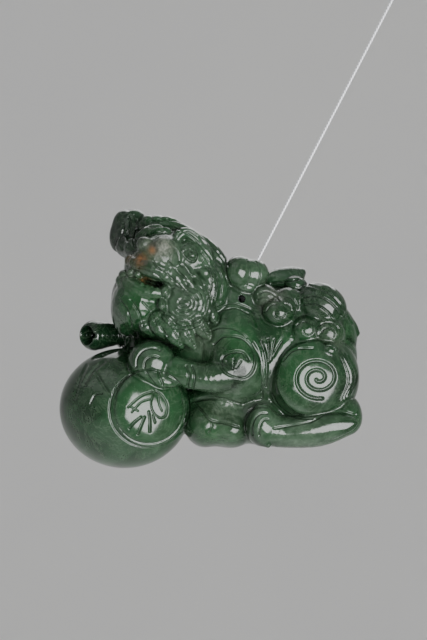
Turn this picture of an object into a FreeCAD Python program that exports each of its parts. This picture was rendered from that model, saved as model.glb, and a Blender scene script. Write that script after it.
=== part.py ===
"""A jade beast resting on a treasure bag, hanging from a thread: FreeCAD 1.1 macro, millimetres.

The carving is one stone. It is divided along its carved outlines into regions that meet face to face, each
a node of its own, and the thread with its knots and loop is the other body.

Sizes and places in the sheet are those of the carving set level, with X along the beast towards its rump,
Y across it towards its right side and Z up. The row's frame has its origin where a hook bears in the loop,
and its +Z runs up the thread, so every place is turned about Y by the lean at which the carving hangs.
"""

import FreeCAD, Part
import math
import os

from FreeCAD import Placement, Rotation, Vector

PARTS = "parts"

# ---------------------------------------------------------------- dimensions, level carving

GENERAL = {
    "lean": 27.3,                                        # turn from the level carving to the hanging one
    "thread": {"radius": 0.25, "reach": 74.0},           # reach: from the tunnel's top to the hook
    "top": {"x": 8.4, "y": -0.2, "z": 33.9},             # where the thread enters the stone
    "tunnel": {"radius": 0.45, "depth": 5.4},            # the bore down along the thread
    "window": {"radius": 0.75, "x": 7.3, "y": -9.0, "z": 29.8, "past": 1.0},   # the side drilling
    "stopper": {"radius": 0.6},
    "tie": {"girth": 0.8, "height": 0.95},               # the loop's knot, half sizes
    "loop": {"bend": 1.9, "drop": 8.1, "spread": 0.3},
    "coin": {"x": -11.4, "y": -11.5, "z": 7.8, "radius": 8.0, "turn": 24.4, "depth": 2.4, "rise": 0.35},
    "cup": {"x": -18.2, "y": 4.2, "z": 22.2, "throat": 1.9, "rim": 3.2, "lip": 0.7, "tall": 5.8, "deep": 2.4},
    "torso": {"x": 12.8, "y": 0.3, "z": 18.6, "radius": 14.3, "half": 9.4},
}

# each round mass of the stone: x, y, z of its centre, and its radius; paired ones are given for the left
BALLS = {
    "bag": (-16.6, 0.0, 8.0, 12.6),
    "collar": (-16.2, 3.2, 22.2, 3.1),
    "stalk": (-13.6, 3.0, 19.6, 3.5),
    "nape": (4.5, -0.6, 29.6, 6.0),
    "chest": (-0.8, 0.0, 21.0, 7.8),
    "belly": (2.6, 0.0, 6.6, 6.8),
    "shoulder": (4.8, -3.2, 18.6, 8.6),
    "haunch": (20.6, -1.8, 14.0, 10.0),
    "heel": (25.6, -5.9, 6.0, 4.8),
    "skull": (-6.6, -1.2, 35.0, 9.4),
    "bridge": (-11.0, -7.6, 37.2, 5.0),
    "nose": (-9.8, -11.4, 39.6, 2.3),
    "jaw": (-12.2, -6.2, 30.4, 5.2),
    "cheek": (-3.8, -6.8, 29.4, 5.6),
    "mane": (-12.8, 3.8, 30.0, 7.2),
    "near_ear": (6.5, -4.5, 35.2, 3.2),
    "ear_root": (-15.4, 2.3, 41.4, 3.3),
    "ear_tip": (-15.9, 2.2, 44.6, 2.8),
    "curl_front": (18.8, -6.0, 26.8, 3.2),
    "curl_rear": (24.4, -5.6, 24.6, 3.6),
    "curl_neck": (12.6, -4.8, 28.8, 3.4),
}

# each drawn-out mass: x, y, z of its centre, its half sizes, and how far its rump end is lowered, degrees
OVALS = {
    "arm": (-0.9, -7.5, 14.3, 7.6, 4.0, 3.9, 5.0),
    "paw": (-11.0, -8.4, 17.2, 5.2, 4.4, 4.6, 12.0),
    "foot": (18.8, -7.0, 4.4, 10.9, 4.3, 4.4, 0.0),
    "tufts": (-6.2, -6.6, 23.8, 8.6, 4.6, 4.2, 6.0),
    "forelock": (-1.4, -3.0, 41.4, 8.6, 4.3, 4.0, 33.0),
    "tail_mass": (22.6, -0.3, 25.2, 8.8, 6.8, 6.0, 42.0),
    "flames": (14.4, 0.8, 32.9, 5.6, 3.2, 3.2, 2.0),
}

doc = FreeCAD.newDocument("jade_beast")
sheet = doc.addObject("Spreadsheet::Sheet", "Dimensions")


def write_cell(row, alias, value):
    """One named dimension on a row of its own."""
    sheet.set(f"A{row}", alias)
    sheet.set(f"B{row}", str(value))
    sheet.setAlias(f"B{row}", alias)


def write_sheet():
    """Puts every dimension into the sheet under its own alias, in millimetres or degrees."""
    named = {}
    for key, value in GENERAL.items():
        if isinstance(value, dict):
            named.update({f"{key}_{part}": number for part, number in value.items()})
        else:
            named[key] = value
    for key, numbers in BALLS.items():
        named.update({f"{key}_{part}": number for part, number in zip("xyzr", numbers)})
    for key, numbers in OVALS.items():
        parts = ("x", "y", "z", "long", "deep", "tall", "pitch")
        named.update({f"{key}_{part}": number for part, number in zip(parts, numbers)})
    for row, (alias, value) in enumerate(named.items(), start=1):
        write_cell(row, alias, value)
    doc.recompute()


def size(alias):
    """A dimension's value, read back from the sheet."""
    return float(sheet.get(alias))


# ---------------------------------------------------------------- places

def hang(target, prefix, side="left"):
    """Binds an object's base point to the sheet, turned from the level carving into the hanging frame."""
    sign = "" if side == "left" else "-"
    along = f"(Dimensions.{prefix}_x - Dimensions.top_x)"
    up = f"(Dimensions.{prefix}_z - Dimensions.top_z)"
    target.setExpression("Placement.Base.x", f"{along} * cos(Dimensions.lean) - {up} * sin(Dimensions.lean)")
    target.setExpression("Placement.Base.y", f"{sign}Dimensions.{prefix}_y - Dimensions.top_y")
    target.setExpression(
        "Placement.Base.z", f"{along} * sin(Dimensions.lean) + {up} * cos(Dimensions.lean) - Dimensions.thread_reach"
    )


def hung_direction(x, y, z):
    """A direction of the level carving, in the hanging frame."""
    return Rotation(Vector(0, 1, 0), -size("lean")).multVec(Vector(x, y, z))


def hung_point(prefix):
    """A place of the level carving, in the hanging frame."""
    x, y, z = (size(f"{prefix}_{axis}") - size(f"top_{axis}") for axis in "xyz")
    return hung_direction(x, y, z) - Vector(0, 0, size("thread_reach"))


# ---------------------------------------------------------------- building blocks

def ball(name, side="left"):
    """One round mass of the stone."""
    mass = doc.addObject("Part::Sphere", f"{side}_{name}_ball")
    mass.setExpression("Radius", f"Dimensions.{name}_r")
    hang(mass, name, side)
    return mass


def oval(name, side="left"):
    """One drawn-out mass of the stone, pitched about Y."""
    mass = doc.addObject("Part::Ellipsoid", f"{side}_{name}_oval")
    mass.Angle1, mass.Angle2, mass.Angle3 = -90, 90, 360
    mass.setExpression("Radius1", f"Dimensions.{name}_tall")
    mass.setExpression("Radius2", f"Dimensions.{name}_long")
    mass.setExpression("Radius3", f"Dimensions.{name}_deep")
    mass.Placement = Placement(Vector(0, 0, 0), Rotation(Vector(0, 1, 0), 1.0))
    hang(mass, name, side)
    mass.setExpression("Placement.Rotation.Angle", f"Dimensions.{name}_pitch - Dimensions.lean")
    return mass


def rod(name, radius_alias, start, end):
    """A round rod between two points of the hanging frame."""
    drill = doc.addObject("Part::Cylinder", name)
    drill.setExpression("Radius", f"Dimensions.{radius_alias}")
    drill.Height = (end - start).Length
    drill.Placement = Placement(start, Rotation(Vector(0, 0, 1), end - start))
    return drill


def fused(name, *masses):
    """Several masses of one region as one solid."""
    if len(masses) == 1:
        return masses[0]
    whole = doc.addObject("Part::MultiFuse", name)
    whole.Shapes = list(masses)
    return whole


def cut(name, base, tool):
    """Base with tool's space taken out of it."""
    left = doc.addObject("Part::Cut", name)
    left.Base = base
    left.Tool = tool
    return left


def common(name, base, tool):
    """The space that base and tool share."""
    shared = doc.addObject("Part::Common", name)
    shared.Base = base
    shared.Tool = tool
    return shared


def overlap(first, second):
    """Whether two objects share any space."""
    if not first.Shape.BoundBox.intersect(second.Shape.BoundBox):
        return False
    return first.Shape.common(second.Shape).Volume > 1e-6


taken = []           # all that later regions must leave free: the bores and the earlier regions
regions = []         # the finished regions, in carving order


def region(label, *masses):
    """A region of the stone: its masses, less every bore and every earlier region they run into."""
    raw = fused(f"{label}_whole", *masses)
    doc.recompute()
    kept = raw
    for number, earlier in enumerate(taken):
        if overlap(raw, earlier):
            kept = cut(f"{label}_less_{number}", kept, earlier)
    doc.recompute()
    kept.Label = label
    taken.append(raw)
    regions.append(kept)


# ---------------------------------------------------------------- the thread's way through the stone

def bores():
    """The tunnel down along the thread, and the wider window from the left that lets the knot in."""
    knot = Vector(0, 0, -size("thread_reach") - size("tunnel_depth"))
    above = Vector(0, 0, -size("thread_reach") + 3.0)
    start = hung_point("window")
    inward = (knot - start).normalize()
    taken.append(rod("tunnel", "tunnel_radius", knot, above))
    taken.append(rod("window", "window_radius", start, knot + inward * size("window_past")))
    doc.recompute()


# ---------------------------------------------------------------- the treasure bag

def bag():
    """The bag's round body with the relief medallion let into its left flank."""
    turn = math.radians(size("coin_turn"))
    outward = hung_direction(math.sin(turn), -math.cos(turn), 0)
    face = hung_point("coin")
    column = rod("coin_column", "coin_radius", face - outward * size("coin_depth"), face + outward * 3.0)
    swollen = doc.addObject("Part::Sphere", "bag_swollen")
    swollen.setExpression("Radius", "Dimensions.bag_r + Dimensions.coin_rise")
    hang(swollen, "bag")
    region("bag_medallion", common("coin_disc", swollen, column))
    region("bag_body", ball("bag"))


def bag_neck():
    """The tied collar on the bag's top, and the open mouth beyond it."""
    region("bag_collar", ball("collar"), ball("stalk"))
    region("bag_mouth", cup())


def cup():
    """The bag's open mouth: a profile turned about the mouth's own axis, hollow at its outer end."""
    throat, rim, lip = size("cup_throat"), size("cup_rim"), size("cup_lip")
    tall, deep = size("cup_tall"), size("cup_deep")
    corners = [
        (0, 0), (throat, 0), (rim, tall - lip), (rim - lip / 2, tall), (rim - lip, tall), (0, tall - deep),
    ]
    body = doc.addObject("PartDesign::Body", "cup")
    sketch = body.newObject("Sketcher::SketchObject", "cup_profile")
    plane = [f for f in body.Origin.OriginFeatures if f.Role == "XZ_Plane"][0]
    sketch.AttachmentSupport = [(plane, "")]
    sketch.MapMode = "FlatFace"
    for start, end in zip(corners, corners[1:] + corners[:1]):
        sketch.addGeometry(Part.LineSegment(Vector(*start, 0), Vector(*end, 0)), False)
    doc.recompute()
    turned = body.newObject("PartDesign::Revolution", "cup_turned")
    turned.Profile = sketch
    turned.ReferenceAxis = (sketch, ["V_Axis"])
    turned.Angle = 360
    body.Tip = turned
    body.Placement = Placement(Vector(0, 0, 0), Rotation(Vector(0, 0, 1), hung_direction(-0.85, -0.45, 0.27)))
    hang(body, "cup")
    return body


# ---------------------------------------------------------------- trunk and limbs

def torso_lens():
    """The long body: the lens that two great balls share, one a little to each side."""
    radius = "(Dimensions.torso_radius ^ 2 + Dimensions.torso_half ^ 2) / (2 * Dimensions.torso_half)"
    halves = []
    for name, sign in (("torso_left", "-"), ("torso_right", "+")):
        great = doc.addObject("Part::Sphere", name)
        great.setExpression("Radius", radius)
        hang(great, "torso")
        shift = f"{sign} ({radius} - Dimensions.torso_half)"
        great.setExpression("Placement.Base.y", f"Dimensions.torso_y - Dimensions.top_y {shift}")
        halves.append(great)
    return common("torso_lens", *halves)


def trunk():
    """The long body, then the nape, chest and belly."""
    region("torso", torso_lens())
    region("nape", ball("nape"))
    region("chest", ball("chest"))
    region("belly", ball("belly"))


def limbs(side):
    """One side's shoulder, foreleg, haunch and hind foot."""
    other_half = doc.addObject("Part::Box", f"{side}_far_half")
    other_half.Length, other_half.Width, other_half.Height = 100, 40, 100
    other_half.Placement.Base.x = -50
    other_half.Placement.Base.z = -50 - size("thread_reach")
    shift = "" if side == "left" else " - Width"
    other_half.setExpression("Placement.Base.y", f"-Dimensions.top_y * 1 mm{shift}")
    doc.recompute()
    region(f"{side}_shoulder", ball("shoulder", side))
    region(f"{side}_forearm", oval("arm", side))
    region(f"{side}_fore_paw", oval("paw", side))
    region(f"{side}_haunch", cut(f"{side}_haunch_half", ball("haunch", side), other_half))
    region(f"{side}_hind_foot", oval("foot", side), ball("heel", side))


# ---------------------------------------------------------------- head

def head():
    """The head is turned towards the beast's left: skull, muzzle, jaw, curls, crest and ears."""
    region("skull", ball("skull"))
    region("muzzle", ball("bridge"), ball("nose"))
    region("lower_jaw", ball("jaw"))
    region("left_cheek", ball("cheek"))
    region("right_mane", ball("mane"))
    region("beard", oval("tufts"))
    region("crest", oval("forelock"))
    region("left_ear", ball("near_ear"))
    region("right_ear", ball("ear_root"), ball("ear_tip"))


# ---------------------------------------------------------------- tail and back

def tail():
    """The tail is laid up over the rump and breaks into flames and curls along the back."""
    region("tail", oval("tail_mass"))
    region("tail_tip", oval("flames"))
    region("tail_curls", ball("curl_front"), ball("curl_rear"))
    region("back_curl", ball("curl_neck"))


# ---------------------------------------------------------------- thread

def thread():
    """The straight thread from the stopper knot to the loop's knot, each knot a plain bead."""
    knot = doc.addObject("Part::Sphere", "stopper")
    knot.setExpression("Radius", "Dimensions.stopper_radius")
    knot.setExpression("Placement.Base.z", "-Dimensions.thread_reach - Dimensions.tunnel_depth")
    knot.Label = "stopper_knot"
    tie = doc.addObject("Part::Ellipsoid", "tie")
    tie.Angle1, tie.Angle2, tie.Angle3 = -90, 90, 360
    tie.setExpression("Radius1", "Dimensions.tie_height")
    tie.setExpression("Radius2", "Dimensions.tie_girth")
    tie.setExpression("Radius3", "Dimensions.tie_girth")
    tie.setExpression("Placement.Base.z", "-Dimensions.loop_drop")
    tie.Label = "loop_knot"
    line = doc.addObject("Part::Cylinder", "line")
    line.setExpression("Radius", "Dimensions.thread_radius")
    line.setExpression("Height", "Dimensions.thread_reach + Dimensions.tunnel_depth - Dimensions.loop_drop")
    line.setExpression("Placement.Base.z", "-Dimensions.thread_reach - Dimensions.tunnel_depth")
    line = cut("line_below_tie", cut("line_above_stopper", line, knot), tie)
    line.Label = "hanging_line"
    loop = cut("loop_above_tie", teardrop(), tie)
    loop.Label = "hang_loop"
    return [knot, tie, line, loop]


def teardrop():
    """The loop: two straight sides that leave the knot and meet a round bend under the hook."""
    bend, radius = size("loop_bend"), size("thread_radius")
    centre = Vector(0, 0, radius - bend)
    foot = Vector(size("loop_spread"), 0, -size("loop_drop"))
    reach = centre - foot
    # each side meets the bend where the bend's radius stands square to it
    angle = math.atan2(-reach.x, reach.z) - math.asin(bend / reach.Length)
    side = Vector(-math.sin(angle), 0, math.cos(angle))
    touch = foot + side * math.sqrt(reach.Length ** 2 - bend ** 2)
    path = Part.Wire([
        Part.LineSegment(foot, touch).toShape(),
        Part.Arc(touch, centre + Vector(0, 0, bend), Vector(-touch.x, 0, touch.z)).toShape(),
        Part.LineSegment(Vector(-touch.x, 0, touch.z), Vector(-foot.x, 0, foot.z)).toShape(),
    ])
    section = Part.Wire(Part.makeCircle(radius, foot, side))
    tube = doc.addObject("Part::Feature", "teardrop")
    tube.Shape = path.makePipeShell([section], True, False)
    expected = math.pi * radius ** 2 * path.Length
    print(f"loop tube volume {tube.Shape.Volume:.3f}, section times length {expected:.3f}")
    return tube


# ---------------------------------------------------------------- assembly and export

def build():
    """Every region of the stone in carving order, then the thread."""
    write_sheet()
    bores()
    bag()
    trunk()
    bag_neck()
    limbs("left")
    limbs("right")
    head()
    tail()
    return regions + thread()


def check(nodes):
    """Stops the build if any object failed or any node isn't one sound solid."""
    failed = [o.Name for o in doc.Objects if {"Invalid", "Error"} & set(o.State)]
    if failed:
        raise RuntimeError(f"objects failed: {failed}")
    for node in nodes:
        shape = node.Shape
        if shape.isNull() or not shape.isValid() or not shape.Solids:
            raise RuntimeError(f"{node.Label} isn't a sound solid")


def main():
    nodes = build()
    doc.recompute()
    check(nodes)
    os.makedirs(PARTS, exist_ok=True)
    volume = 0.0
    balance = Vector(0, 0, 0)
    for node in nodes:
        shape = node.Shape
        print(f"{node.Label:16s} solids {len(shape.Solids)} volume {shape.Volume:9.2f}")
        shape.exportStep(os.path.join(PARTS, f"{node.Label}.step"))
        for solid in shape.Solids:
            volume += solid.Volume
            balance += solid.CenterOfMass * solid.Volume
    print(f"{len(nodes)} nodes, {volume:.0f} cubic millimetres, balanced at {balance / volume}")


main()
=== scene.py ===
import copy
import math

import bpy
import numpy as np
from mathutils import Matrix, Vector


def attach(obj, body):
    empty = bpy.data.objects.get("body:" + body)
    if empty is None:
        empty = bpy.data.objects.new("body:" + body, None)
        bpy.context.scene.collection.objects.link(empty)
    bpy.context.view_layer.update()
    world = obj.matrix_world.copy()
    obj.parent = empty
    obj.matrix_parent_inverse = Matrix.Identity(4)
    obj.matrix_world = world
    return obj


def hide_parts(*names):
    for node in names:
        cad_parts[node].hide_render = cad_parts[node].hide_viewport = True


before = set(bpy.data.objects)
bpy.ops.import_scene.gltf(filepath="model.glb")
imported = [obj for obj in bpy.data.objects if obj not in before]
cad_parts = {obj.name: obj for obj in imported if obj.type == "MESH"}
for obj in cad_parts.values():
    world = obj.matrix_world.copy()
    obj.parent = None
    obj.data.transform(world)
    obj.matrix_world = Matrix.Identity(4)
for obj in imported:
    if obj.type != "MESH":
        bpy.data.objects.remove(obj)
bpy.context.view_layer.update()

# The carving is shaped in its level pose in millimetres: X towards the rump, Y towards the far flank, Z up.
# hung() turns it to the pose in which it hangs from the thread, and gives metres in the row frame.

LEAN = math.radians(27.3)
TOP = np.array([8.4, -0.2, 33.9])          # where the thread enters the stone
REACH = 74.0                               # from there up to the hook
TUNNEL = 5.4                               # from there down to the stopper knot
VIEW_POINT = (1.3, -355.6, 25.4)           # the camera


def hung(points):
    """Level millimetres to row-frame metres."""
    p = np.asarray(points, float) - TOP
    c, s = math.cos(LEAN), math.sin(LEAN)
    turned = np.stack([p[..., 0] * c - p[..., 2] * s, p[..., 1], p[..., 0] * s + p[..., 2] * c - REACH], -1)
    return turned / 1000.0


# ---------------------------------------------------------------- camera

def make_camera():
    """A look along level +Y at the carving's left side, so the thread leans in the picture."""
    data = bpy.data.cameras.new("camera")
    data.lens, data.sensor_width = 100.0, 36.0
    data.clip_start, data.clip_end = 0.01, 20.0
    camera = bpy.data.objects.new("camera", data)
    bpy.context.scene.collection.objects.link(camera)
    c, s = math.cos(LEAN), math.sin(LEAN)
    place = Vector(hung(VIEW_POINT))
    columns = (Vector((c, 0, s)), Vector((-s, 0, c)), Vector((0, -1, 0)))
    camera.matrix_world = Matrix.Translation(place) @ Matrix(columns).transposed().to_4x4()
    bpy.context.scene.camera = camera


make_camera()


# ---------------------------------------------------------------- shader helpers

def shader(name):
    """A new material and a helper that adds nodes to it."""
    material = bpy.data.materials.new(name)
    material.use_nodes = True
    tree = material.node_tree
    tree.nodes.clear()

    def add(kind, values=None, links=None, **settings):
        node = tree.nodes.new(kind)
        for key, value in settings.items():
            setattr(node, key, value)
        for key, value in (values or {}).items():
            node.inputs[key].default_value = value
        for key, source in (links or {}).items():
            tree.links.new(source, node.inputs[key])
        return node

    return material, add


def ramp(add, source, *stops):
    """A colour ramp with (position, colour) stops."""
    node = add("ShaderNodeValToRGB", links={"Fac": source})
    elements = node.color_ramp.elements
    while len(elements) < len(stops):
        elements.new(0.5)
    for element, (position, colour) in zip(elements, stops):
        element.position = position
        element.color = (*colour, 1)
    return node.outputs["Color"]


def mix(add, factor, first, second):
    """Mixes two colours; each value is a number, a colour or a socket."""
    node = add("ShaderNodeMix", data_type="RGBA", blend_type="MIX", clamp_factor=True)
    sockets = {"Factor": node.inputs[0], "A": node.inputs[6], "B": node.inputs[7]}
    for key, value in (("Factor", factor), ("A", first), ("B", second)):
        if isinstance(value, bpy.types.NodeSocket):
            node.id_data.links.new(value, sockets[key])
        elif key == "Factor":
            sockets[key].default_value = value
        else:
            sockets[key].default_value = (*value, 1)
    return node.outputs[2]


def noise(add, where, scale, detail=3.0, rough=0.55, warp=0.0):
    """Noise in the object's own space."""
    values = {"Scale": scale, "Detail": detail, "Roughness": rough, "Distortion": warp}
    return add("ShaderNodeTexNoise", values, {"Vector": where}).outputs["Fac"]


def times(add, first, second):
    """A product; each factor is a number or a socket."""
    node = add("ShaderNodeMath", operation="MULTIPLY")
    for socket, value in zip(node.inputs, (first, second)):
        if isinstance(value, bpy.types.NodeSocket):
            node.id_data.links.new(value, socket)
        else:
            socket.default_value = value
    return node.outputs[0]


# ---------------------------------------------------------------- thread, in metres

THREAD_RADIUS = 0.00025
LOOP_DROP = 0.0081                         # from the hook point down to the knot that closes the loop


def thread_material():
    """Fine silvery thread, two strands laid round each other."""
    material, add = shader("silver_thread")
    where = add("ShaderNodeTexCoord").outputs["Object"]
    strands = add(
        "ShaderNodeTexWave", {"Scale": 900.0, "Distortion": 0.6, "Detail": 1.0}, {"Vector": where},
        bands_direction="DIAGONAL",
    ).outputs["Fac"]
    fuzz = noise(add, where, 5000.0)
    colour = ramp(add, strands, (0.1, (0.42, 0.43, 0.46)), (0.6, (0.80, 0.81, 0.84)))
    bump = add("ShaderNodeBump", {"Strength": 0.5, "Distance": 0.00006}, {"Height": strands})
    bump = add(
        "ShaderNodeBump", {"Strength": 0.2, "Distance": 0.00003}, {"Height": fuzz, "Normal": bump.outputs[0]},
    )
    surface = add(
        "ShaderNodeBsdfPrincipled",
        {"Metallic": 0.15, "Roughness": 0.38, "Sheen Weight": 0.3},
        {"Base Color": colour, "Normal": bump.outputs[0]},
    )
    add("ShaderNodeOutputMaterial", links={"Surface": surface.outputs[0]})
    return material


def put(name, mesh, body, node, material):
    """Links one visual piece in the place of its CAD node."""
    piece = bpy.data.objects.new(name, mesh)
    bpy.context.scene.collection.objects.link(piece)
    mesh.materials.append(material)
    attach(piece, body)
    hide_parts(node)
    return piece


def thread_curve(points):
    """An open curve with the thread's round section."""
    curve = bpy.data.curves.new("thread", "CURVE")
    curve.dimensions = "3D"
    curve.bevel_depth = THREAD_RADIUS
    curve.bevel_resolution = 4
    curve.use_fill_caps = True
    spline = curve.splines.new("NURBS")
    spline.points.add(len(points) - 1)
    for point, place in zip(spline.points, points):
        point.co = (*place, 1)
    spline.order_u = 3
    spline.use_endpoint_u = True
    return curve


def ball_mesh(name, centre, radii, ridges):
    """A small knot: a ball with a spiral ridge wound round it."""
    rings, sides = 40, 48
    verts = [(centre[0], centre[1], centre[2] - radii[2])]
    for i in range(1, rings):
        v = math.pi * i / rings
        for j in range(sides):
            u = 2 * math.pi * j / sides
            swell = 1 + 0.07 * math.sin(ridges * v + u) * math.sin(v)
            verts.append((
                centre[0] + radii[0] * swell * math.sin(v) * math.cos(u),
                centre[1] + radii[1] * swell * math.sin(v) * math.sin(u),
                centre[2] - radii[2] * swell * math.cos(v),
            ))
    verts.append((centre[0], centre[1], centre[2] + radii[2]))
    faces = [(0, 1 + (j + 1) % sides, 1 + j) for j in range(sides)]
    for i in range(rings - 2):
        low, high = 1 + i * sides, 1 + (i + 1) * sides
        faces += [(low + j, low + (j + 1) % sides, high + (j + 1) % sides, high + j) for j in range(sides)]
    low = 1 + (rings - 2) * sides
    faces += [(low + j, low + (j + 1) % sides, len(verts) - 1) for j in range(sides)]
    mesh = bpy.data.meshes.new(name)
    mesh.from_pydata(verts, [], faces)
    mesh.shade_smooth()
    return mesh


def loop_mesh():
    """The thread's loop: a tube round a teardrop, both ends inside the knot."""
    bend, spread = 0.0019, 0.0003          # radius of the top's curve, and half the gap between the feet
    centre = Vector((0, 0, THREAD_RADIUS - bend))
    foot = Vector((spread, 0, -LOOP_DROP))
    reach = centre - foot
    angle = math.atan2(-reach.x, reach.z) - math.asin(bend / reach.length)
    side = Vector((-math.sin(angle), 0, math.cos(angle)))
    touch = foot + side * math.sqrt(reach.length ** 2 - bend ** 2)
    start = math.atan2(touch.z - centre.z, touch.x - centre.x)
    path = [foot.lerp(touch, t / 12) for t in range(12)]
    for step in range(25):
        a = start + (math.pi - 2 * start) * step / 24
        path.append(centre + Vector((math.cos(a), 0, math.sin(a))) * bend)
    path += [Vector((-p.x, 0, p.z)) for p in reversed(path[:12])]
    verts, faces, sides = [], [], 14
    for i, p in enumerate(path):
        ahead = path[min(i + 1, len(path) - 1)] - path[max(i - 1, 0)]
        out = Vector((ahead.z, 0, -ahead.x)).normalized()
        for j in range(sides):
            a = 2 * math.pi * j / sides
            verts.append(p + (out * math.cos(a) + Vector((0, 1, 0)) * math.sin(a)) * THREAD_RADIUS)
    for i in range(len(path) - 1):
        for j in range(sides):
            k = (j + 1) % sides
            faces.append((i * sides + j, i * sides + k, (i + 1) * sides + k, (i + 1) * sides + j))
    faces.append(tuple(reversed(range(sides))))
    faces.append(tuple(range((len(path) - 1) * sides, len(path) * sides)))
    mesh = bpy.data.meshes.new("hang_loop")
    mesh.from_pydata(verts, [], faces)
    mesh.shade_smooth()
    return mesh


def make_thread():
    """The taut thread, its stopper knot in the stone, and the knot and loop at its upper end."""
    material = thread_material()
    low, high = -(REACH + TUNNEL) / 1000, -LOOP_DROP
    points = [(0, 0, low + (high - low) * t / 12) for t in range(13)]
    line = put("thread_line", thread_curve(points), "line", "hanging_line", material)
    knot = ball_mesh("thread_stopper", (0, 0, low), (0.0006, 0.0006, 0.0006), 9)
    knot = put("thread_stopper", knot, "line", "stopper_knot", material)
    tie = ball_mesh("thread_tie", (0, 0, high), (0.0008, 0.0008, 0.00095), 12)
    tie = put("thread_tie", tie, "line", "loop_knot", material)
    loop = put("thread_loop", loop_mesh(), "line", "hang_loop", material)


make_thread()


# ---------------------------------------------------------------- solid shapes of the carving

def turned(pitch, yaw):
    """Axes of an oval: its +X end lowered by pitch, then turned about Z by yaw, in degrees."""
    a, b = math.radians(pitch), math.radians(yaw)
    about_y = np.array([[math.cos(a), 0, math.sin(a)], [0, 1, 0], [-math.sin(a), 0, math.cos(a)]])
    about_z = np.array([[math.cos(b), -math.sin(b), 0], [math.sin(b), math.cos(b), 0], [0, 0, 1]])
    return about_z @ about_y


class Oval:
    """An ellipsoid's approximate signed distance."""

    def __init__(self, x, y, z, rx, ry, rz, pitch=0.0, yaw=0.0, soft=0.3):
        self.centre = np.array([x, y, z], np.float32)
        self.radii = np.array([rx, ry, rz], np.float32)
        self.axes = turned(pitch, yaw).astype(np.float32)
        self.soft = soft
        reach = np.sqrt(((self.axes * self.radii) ** 2).sum(1))
        self.low, self.high = self.centre - reach, self.centre + reach

    def distance(self, p):
        q = (p - self.centre) @ self.axes / self.radii
        near = np.sqrt((q * q).sum(1)) + 1e-6
        slope = np.sqrt(((q / self.radii) ** 2).sum(1)) + 1e-6
        return near * (near - 1.0) / slope


def spline(points, steps=5):
    """A smooth curve through the points (each x, y, z and radius), as a finer polyline."""
    p = np.array(points, np.float32)
    padded = np.vstack([2 * p[0] - p[1], p, 2 * p[-1] - p[-2]])
    out = []
    for i in range(len(p) - 1):
        a, b, c, d = padded[i:i + 4]
        for t in np.arange(steps) / steps:
            out.append(0.5 * (2 * b + (c - a) * t + (2 * a - 5 * b + 4 * c - d) * t ** 2
                              + (3 * b - a - 3 * c + d) * t ** 3))
    out.append(p[-1])
    return np.array(out, np.float32)


class Tube:
    """A round limb along a curve, its radius given at each point."""

    def __init__(self, *points, soft=0.3):
        self.line = spline(points, 4)
        self.soft = soft
        reach = self.line[:, 3:4]
        self.low = (self.line[:, :3] - reach).min(0)
        self.high = (self.line[:, :3] + reach).max(0)

    def distance(self, p):
        best = np.full(len(p), 1e3, np.float32)
        for a, b in zip(self.line[:-1], self.line[1:]):
            along = b[:3] - a[:3]
            t = np.clip((p - a[:3]) @ along / (along @ along), 0, 1)
            gap = p - a[:3] - t[:, None] * along
            best = np.minimum(best, np.sqrt((gap * gap).sum(1)) - (a[3] + t * (b[3] - a[3])))
        return best


def far(*shapes):
    """The same shapes on the far flank."""
    made = []
    for shape in shapes:
        other = copy.copy(shape)
        flip = np.array([1, -1, 1], np.float32)
        other.low, other.high = shape.low * flip, shape.high * flip
        other.low[1], other.high[1] = -shape.high[1], -shape.low[1]
        if isinstance(shape, Oval):
            other.centre = shape.centre * flip
            other.axes = shape.axes * flip[:, None]
        else:
            other.line = shape.line * np.array([1, -1, 1, 1], np.float32)
        made.append(other)
    return made


SHOULDER = [
    Oval(5.2, -2.6, 19.4, 7.2, 8.0, 9.4, -6, soft=2.4),
    Oval(5.7, -4.0, 15.1, 6.6, 6.5, 6.2, soft=1.6),
    Oval(5.7, -9.1, 16.6, 4.9, 1.9, 4.7, soft=0.6),
]
FOREARM = [
    Tube(
        (5.7, -7.6, 15.6, 3.4), (1.4, -8.8, 14.3, 3.0), (-2.3, -9.2, 14.5, 2.7),
        (-6.8, -9.0, 15.7, 2.9),
        soft=1.2,
    ),
]
FORE_PAW = [
    Oval(-10.7, -8.2, 17.0, 4.8, 4.3, 4.4, 18, soft=0.5),
    Tube((-11.9, -9.0, 14.5, 1.3), (-9.1, -9.6, 13.7, 1.5), (-6.4, -9.6, 13.5, 1.3), soft=0.5),
]
HAUNCH = [
    Oval(20.6, -3.2, 14.1, 9.6, 7.5, 10.0, soft=0.9),
    Oval(21.1, -8.7, 13.9, 7.8, 2.5, 7.4, 0, 12, soft=0.9),
]
HIND_FOOT = [
    Tube(
        (11.0, -7.6, 4.5, 3.6), (15.3, -7.8, 3.5, 3.1), (21.8, -7.4, 4.1, 3.5), (27.2, -6.0, 5.9, 3.3),
        soft=0.6,
    ),
    Oval(10.8, -8.2, 4.9, 2.9, 3.5, 4.2, soft=0.6),
    Oval(27.4, -5.0, 7.3, 3.0, 3.8, 3.4, soft=1.0),
    Oval(21.1, -9.5, 4.2, 8.4, 1.6, 2.6, -9, soft=0.4),
    Tube((10.8, -9.0, 2.4, 1.6), (11.9, -9.4, 1.1, 0.6)),
]

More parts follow.
